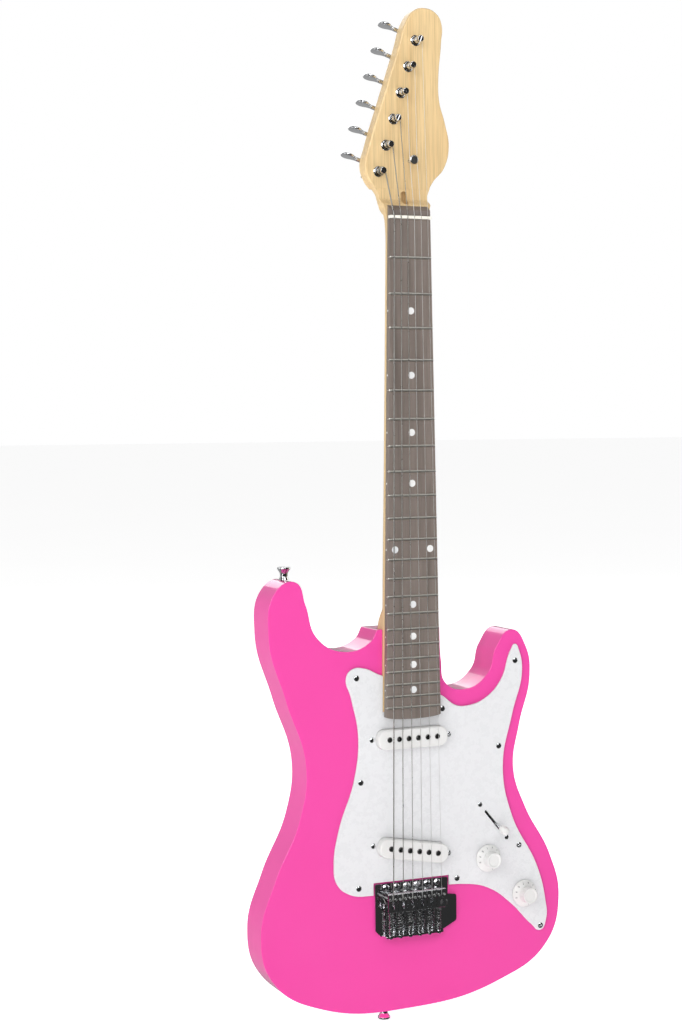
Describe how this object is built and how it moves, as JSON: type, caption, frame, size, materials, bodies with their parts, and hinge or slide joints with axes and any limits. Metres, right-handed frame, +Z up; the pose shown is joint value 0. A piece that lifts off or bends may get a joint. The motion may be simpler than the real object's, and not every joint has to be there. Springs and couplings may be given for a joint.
{
  "type": "electric guitar",
  "caption": "Small solid-body electric guitar, pink with a white guard, maple bolt-on neck, dark fretboard, slanted row of tuners and a tilting spring-loaded bridge.",
  "frame": {"origin": "on the string centre line at the nut's front edge, level with the flat front face of the body, where a hanger's yoke cradles the neck just below the head", "axes": "+Z runs up the neck to the head, +Y out of the back, -Y out of the front where the strings are, +X towards the thin treble strings, away from the tuner keys"},
  "size_m": [0.3049, 0.0552, 0.9274],
  "materials": {
    "pink_lacquer": "high-gloss pink lacquer over wood",
    "maple": "pale satin clear coat",
    "rosewood": "dark oiled open grain",
    "bone_plastic": "off-white, lightly polished",
    "white_plastic": "plain white, smooth",
    "chrome": "polished",
    "steel": "plain bright steel",
    "dark_plastic": "black moulded",
    "black_paint": "black enamel, satin"
  },
  "bodies": {
    "guitar": {"back_cover": "white_plastic", "body": "pink_lacquer", "bridge_pickup_core": "dark_plastic", "bridge_pickup_cover": "white_plastic", "fretboard": "rosewood", "jack_plate": "chrome", "jack_socket": "chrome", "neck": "maple", "neck_pickup_core": "dark_plastic", "neck_pickup_cover": "white_plastic", "neck_plate": "black_paint", "nut": "bone_plastic", "pickguard": "white_plastic", "spring_claw": "steel", "strap_button_horn": "chrome", "strap_button_tail": "chrome", "string_1": "steel", "string_2": "steel", "string_3": "steel", "string_4": "steel", "string_5": "steel", "string_6": "steel", "string_tree": "chrome", "switch_frame": "steel", "tone_pot": "steel", "tremolo_spring_1": "steel", "tremolo_spring_2": "steel", "tremolo_spring_3": "steel", "truss_rod": "steel", "tuner_housing_1": "chrome", "tuner_housing_2": "chrome", "tuner_housing_3": "chrome", "tuner_housing_4": "chrome", "tuner_housing_5": "chrome", "tuner_housing_6": "chrome", "volume_pot": "steel"},
    "tuner_key_1": {"tuner_key_1": "chrome"},
    "tuner_post_1": {"tuner_post_1": "chrome"},
    "tuner_key_2": {"tuner_key_2": "chrome"},
    "tuner_post_2": {"tuner_post_2": "chrome"},
    "tuner_key_3": {"tuner_key_3": "chrome"},
    "tuner_post_3": {"tuner_post_3": "chrome"},
    "tuner_key_4": {"tuner_key_4": "chrome"},
    "tuner_post_4": {"tuner_post_4": "chrome"},
    "tuner_key_5": {"tuner_key_5": "chrome"},
    "tuner_post_5": {"tuner_post_5": "chrome"},
    "tuner_key_6": {"tuner_key_6": "chrome"},
    "tuner_post_6": {"tuner_post_6": "chrome"},
    "volume_knob": {"volume_knob": "white_plastic"},
    "tone_knob": {"tone_knob": "white_plastic"},
    "switch": {"switch_lever": "chrome", "switch_tip": "white_plastic"},
    "tremolo": {"bridge_plate": "chrome", "tremolo_block": "steel", "saddle_1": "chrome", "saddle_2": "chrome", "saddle_3": "chrome", "saddle_4": "chrome", "saddle_5": "chrome", "saddle_6": "chrome"}
  },
  "joints": [
    {"name": "tuner_key_1_turn", "type": "hinge", "parent": "guitar", "child": "tuner_key_1", "pos_m": [0.01542, 0.02235, 0.17073], "axis": [-0.9532, 0, 0.3024], "continuous": true},
    {"name": "tuner_post_1_turn", "type": "hinge", "parent": "guitar", "child": "tuner_post_1", "pos_m": [0.01285, 0, 0.16262], "axis": [0, 1, 0], "continuous": true},
    {"name": "tuner_key_2_turn", "type": "hinge", "parent": "guitar", "child": "tuner_key_2", "pos_m": [0.00783, 0.02235, 0.1468], "axis": [-0.9532, 0, 0.3024], "continuous": true},
    {"name": "tuner_post_2_turn", "type": "hinge", "parent": "guitar", "child": "tuner_post_2", "pos_m": [0.00526, 0, 0.1387], "axis": [0, 1, 0], "continuous": true},
    {"name": "tuner_key_3_turn", "type": "hinge", "parent": "guitar", "child": "tuner_key_3", "pos_m": [0.00024, 0.02235, 0.12288], "axis": [-0.9532, 0, 0.3024], "continuous": true},
    {"name": "tuner_post_3_turn", "type": "hinge", "parent": "guitar", "child": "tuner_post_3", "pos_m": [-0.00233, 0, 0.11478], "axis": [0, 1, 0], "continuous": true},
    {"name": "tuner_key_4_turn", "type": "hinge", "parent": "guitar", "child": "tuner_key_4", "pos_m": [-0.00735, 0.02235, 0.09895], "axis": [-0.9532, 0, 0.3024], "continuous": true},
    {"name": "tuner_post_4_turn", "type": "hinge", "parent": "guitar", "child": "tuner_post_4", "pos_m": [-0.00992, 0, 0.09085], "axis": [0, 1, 0], "continuous": true},
    {"name": "tuner_key_5_turn", "type": "hinge", "parent": "guitar", "child": "tuner_key_5", "pos_m": [-0.01494, 0.02235, 0.07503], "axis": [-0.9532, 0, 0.3024], "continuous": true},
    {"name": "tuner_post_5_turn", "type": "hinge", "parent": "guitar", "child": "tuner_post_5", "pos_m": [-0.01751, 0, 0.06692], "axis": [0, 1, 0], "continuous": true},
    {"name": "tuner_key_6_turn", "type": "hinge", "parent": "guitar", "child": "tuner_key_6", "pos_m": [-0.02253, 0.02235, 0.0511], "axis": [-0.9532, 0, 0.3024], "continuous": true},
    {"name": "tuner_post_6_turn", "type": "hinge", "parent": "guitar", "child": "tuner_post_6", "pos_m": [-0.0251, 0, 0.043], "axis": [0, 1, 0], "continuous": true},
    {"name": "volume_knob_turn", "type": "hinge", "parent": "guitar", "child": "volume_knob", "pos_m": [0.079, 0, -0.59015], "axis": [0, 1, 0], "range_deg": [0, 270]},
    {"name": "tone_knob_turn", "type": "hinge", "parent": "guitar", "child": "tone_knob", "pos_m": [0.117, 0, -0.62735], "axis": [0, 1, 0], "range_deg": [0, 270]},
    {"name": "switch_throw", "type": "hinge", "parent": "guitar", "child": "switch", "pos_m": [0.085, 0.01, -0.55575], "axis": [-0.7672, 0, -0.6414], "range_deg": [0, 50]},
    {"name": "tremolo_tilt", "type": "hinge", "parent": "guitar", "child": "tremolo", "pos_m": [0, -0.0014, -0.6038], "axis": [-1, 0, 0], "range_deg": [0, 8], "stiffness_Nm_per_rad": 5, "springref_deg": -5.73, "deforming": ["string_1", "string_2", "string_3", "string_4", "string_5", "string_6", "tremolo_spring_1", "tremolo_spring_2", "tremolo_spring_3"]}
  ],
  "couplings": [
    {"joint": "tuner_post_1_turn", "follows": "tuner_key_1_turn", "ratio": -0.071429},
    {"joint": "tuner_post_2_turn", "follows": "tuner_key_2_turn", "ratio": -0.071429},
    {"joint": "tuner_post_3_turn", "follows": "tuner_key_3_turn", "ratio": -0.071429},
    {"joint": "tuner_post_4_turn", "follows": "tuner_key_4_turn", "ratio": -0.071429},
    {"joint": "tuner_post_5_turn", "follows": "tuner_key_5_turn", "ratio": -0.071429},
    {"joint": "tuner_post_6_turn", "follows": "tuner_key_6_turn", "ratio": -0.071429}
  ]
}
